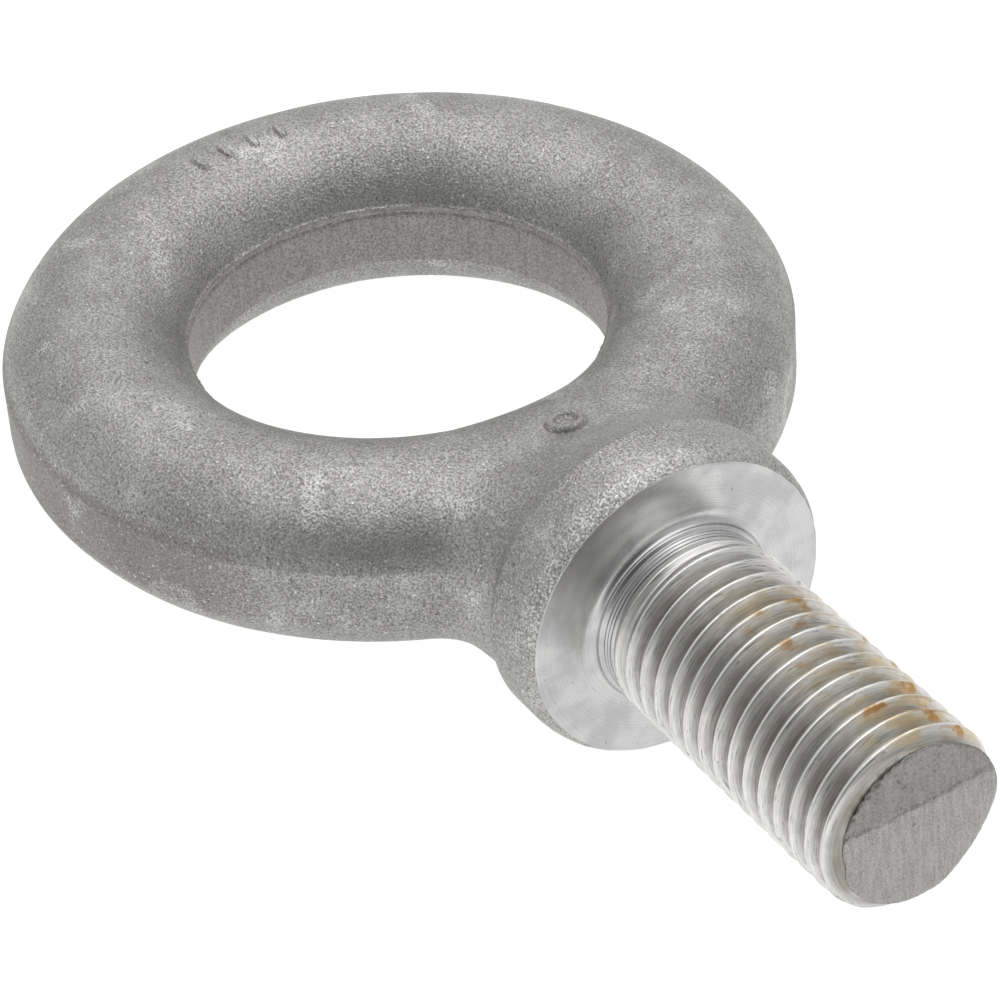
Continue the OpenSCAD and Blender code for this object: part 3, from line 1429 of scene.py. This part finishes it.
        # the last column meets the first one a whole turn further on
        lap = self.per_turn
        draft.net(np.stack([nets[-1, :-lap], nets[0, lap:]]))
        first = np.concatenate([nets[:, 0], nets[0, lap:0:-1]])
        final = np.concatenate([nets[:, -1], nets[-1, -2:-lap - 2:-1]])
        draft.fan(first, on_axis(start))
        draft.fan(final, on_axis(float(grid[:, -1, 0].min())))
        settle(draft, "thread_cut", [finish], ("threaded_shank",))

    def build_end(self, finish: Material) -> None:
        """Makes the sheared end, a plate whose rim follows the last of the thread.

        Args:
            finish: The sheared finish.
        """
        turn = (np.arange(360) * TAU / 360)[:, None]
        share = np.linspace(0, 1, 60)[1:][None]
        rim_r = self.outline_r(turn)
        rim_x = self.end_x(rim_r * np.cos(turn), rim_r * np.sin(turn))
        worn = np.minimum(rim_r, self.cut_r(rim_x, turn) + 0.03)
        radius = worn * share
        y, z = radius * np.cos(turn), radius * np.sin(turn)
        face = np.stack([self.end_x(y, z), y, z], -1)
        side_x = rim_x - 0.25
        side = turned_points(turn, side_x, np.minimum(worn, self.cut_r(side_x, turn) + 0.02))
        back = turned_points(turn, rim_x - 0.8, worn - 1.6)
        draft = MeshDraft()
        rows = draft.sleeve(np.concatenate([face, side, back], axis=1))
        zero = np.zeros(1)
        draft.fan(rows[:, 0], on_axis(float(self.end_x(zero, zero)[0])))
        draft.fan(rows[:, -1], on_axis(self.sizes.point_x - 0.3))
        settle(draft, "end_sheared", [finish], ("shank_point",))


# ---------------------------------------------------------------- studio


@dataclass(frozen=True)
class Studio:
    """A pale floor, soft light from a tent and a lamp above it, and the camera."""

    azimuth: float = 60.899
    elevation: float = 37.603
    roll: float = -4.532
    distance: float = 475.5
    shift_right: float = 10.64
    shift_up: float = -15.77
    lens: float = 160.25
    floor_size: float = 4000.0
    tent_light: float = 0.72
    opening_light: float = 0.08
    opening_edge: float = 45.0
    opening_low: float = 7.0
    horizon_share: float = 0.66
    horizon_top: float = 0.45
    opening_core: float = 16.0
    paper: str = "707070"
    paper_glow: float = 0.94
    lamp_at: tuple[float, float, float] = (-100, 110, 620)
    lamp_aim: tuple[float, float, float] = (20, 0, 0)
    lamp_size: float = 900.0
    lamp_power: float = 2.5

    def build_camera(self) -> None:
        """Makes the camera."""
        a, e, t = (math.radians(d) for d in (self.azimuth, self.elevation, self.roll))
        back = Vector((math.sin(a) * math.cos(e), -math.cos(a) * math.cos(e), math.sin(e)))
        level = (-back).cross(Vector((0, 0, 1))).normalized()
        upright = level.cross(-back)
        right = level * math.cos(t) + upright * math.sin(t)
        up = upright * math.cos(t) - level * math.sin(t)
        eye = back * self.distance + right * self.shift_right + up * self.shift_up
        data = bpy.data.cameras.new("camera")
        data.lens = self.lens
        data.sensor_width = 36.0
        camera = bpy.data.objects.new("camera", data)
        turned = Matrix((right, up, back)).transposed().to_4x4()
        camera.matrix_world = Matrix.Translation(eye * MM) @ turned
        bpy.context.scene.collection.objects.link(camera)
        bpy.context.scene.camera = camera

    def build_floor(self, lean: float, level: float) -> None:
        """Makes the floor.

        Args:
            lean: The floor's slope along +X in radians.
            level: Its height in mm under the origin.
        """
        half = self.floor_size / 2
        mesh = bpy.data.meshes.new("floor")
        corners = [(x * MM, y * MM, (level + math.tan(lean) * x) * MM)
                   for x, y in ((-half, -half), (half, -half), (half, half), (-half, half))]
        mesh.from_pydata(corners, [], [(0, 1, 2, 3)])
        floor = bpy.data.objects.new("floor", mesh)
        recipe = Recipe("white_paper_lit_from_below")
        paper = recipe.node(
            "ShaderNodeBsdfPrincipled", {},
            {"Base Color": linear(self.paper), "Roughness": 0.9,
             "Emission Color": linear("ffffff"), "Emission Strength": self.paper_glow},
        )
        recipe.node("ShaderNodeOutputMaterial", {}, {"Surface": paper.outputs[0]})
        mesh.materials.append(recipe.material)
        bpy.context.scene.collection.objects.link(floor)

    def build_light(self) -> None:
        """Makes the tent's even light."""
        world = bpy.data.worlds.new("tent")
        world.use_nodes = True
        tree = world.node_tree
        # the tent has one dark opening, fixed in the world, on the main view's side
        a, e = math.radians(self.azimuth), math.radians(self.elevation - self.opening_low)
        opening = (math.sin(a) * math.cos(e), -math.cos(a) * math.cos(e), math.sin(e))
        way = add_node(tree, "ShaderNodeTexCoord", {}, {}).outputs["Generated"]
        dot = {"operation": "DOT_PRODUCT"}
        facing = add_node(tree, "ShaderNodeVectorMath", dot, {0: way, 1: opening}).outputs["Value"]
        edge, core = (math.cos(math.radians(d)) for d in (self.opening_edge, self.opening_core))
        span = {"Value": facing, "From Min": edge, "From Max": core,
                "To Min": self.tent_light, "To Max": self.opening_light}
        shade = add_node(tree, "ShaderNodeMapRange", {"interpolation_type": "SMOOTHSTEP"}, span)
        # its lower walls get less light than its roof
        height = add_node(tree, "ShaderNodeSeparateXYZ", {}, {0: way}).outputs["Z"]
        walls = {"Value": height, "From Min": 0.0, "From Max": self.horizon_top,
                 "To Min": self.horizon_share, "To Max": 1.0}
        wall = add_node(tree, "ShaderNodeMapRange", {"interpolation_type": "SMOOTHSTEP"}, walls)
        strength = add_node(tree, "ShaderNodeMath", {"operation": "MULTIPLY"},
                            {0: shade.outputs[0], 1: wall.outputs[0]})
        background = tree.nodes["Background"]
        background.inputs["Color"].default_value = linear("ffffff")
        tree.links.new(strength.outputs[0], background.inputs["Strength"])
        bpy.context.scene.world = world
        bpy.context.scene.view_settings.view_transform = "Standard"

    def build_lamp(self) -> None:
        """Makes the square soft lamp above the tent."""
        data = bpy.data.lights.new("top_lamp", "AREA")
        data.shape = "SQUARE"
        data.size = self.lamp_size * MM
        data.energy = self.lamp_power
        lamp = bpy.data.objects.new("top_lamp", data)
        place, aim = Vector(self.lamp_at) * MM, Vector(self.lamp_aim) * MM
        lamp.location = place
        lamp.rotation_mode = "QUATERNION"
        lamp.rotation_quaternion = (aim - place).to_track_quat("-Z", "Y")
        bpy.context.scene.collection.objects.link(lamp)


def main() -> None:
    """Builds the eye bolt, its floor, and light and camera."""
    logging.basicConfig(level=logging.INFO, format="%(name)s: %(message)s")
    sizes = BoltSizes.from_frame()
    relief = ForgedRelief()
    forged = ForgedSteel(ring_r=sizes.ring_r, seat_x=sizes.seat_x).material()
    turned = TurnedSteel().material()
    ring = EyeRing(sizes, relief)
    ring.build([forged, ShearedFlash().material()])
    shoulder = Shoulder(sizes, relief, ring)
    shoulder.build_neck(forged)
    shoulder.build_collar(forged)
    ForgeMarks(sizes, relief, shoulder).build(forged)
    Seat(sizes, shoulder).build(turned)
    shank = Shank(sizes)
    shank.build_thread(CutThreadSteel(sizes.crest_r).material())
    shank.build_end(ShearedEndSteel().material())
    studio = Studio()
    far_x, far_z = -ring.bar_path_r, -ring.bar_half_h
    near_x, near_z = sizes.seat_x - 3.0, -sizes.shoulder_r
    slope = (near_z - far_z) / (near_x - far_x)
    studio.build_floor(math.atan(slope), far_z - slope * far_x - 0.3)
    studio.build_light()
    studio.build_lamp()
    studio.build_camera()


if __name__ == "__main__":
    main()
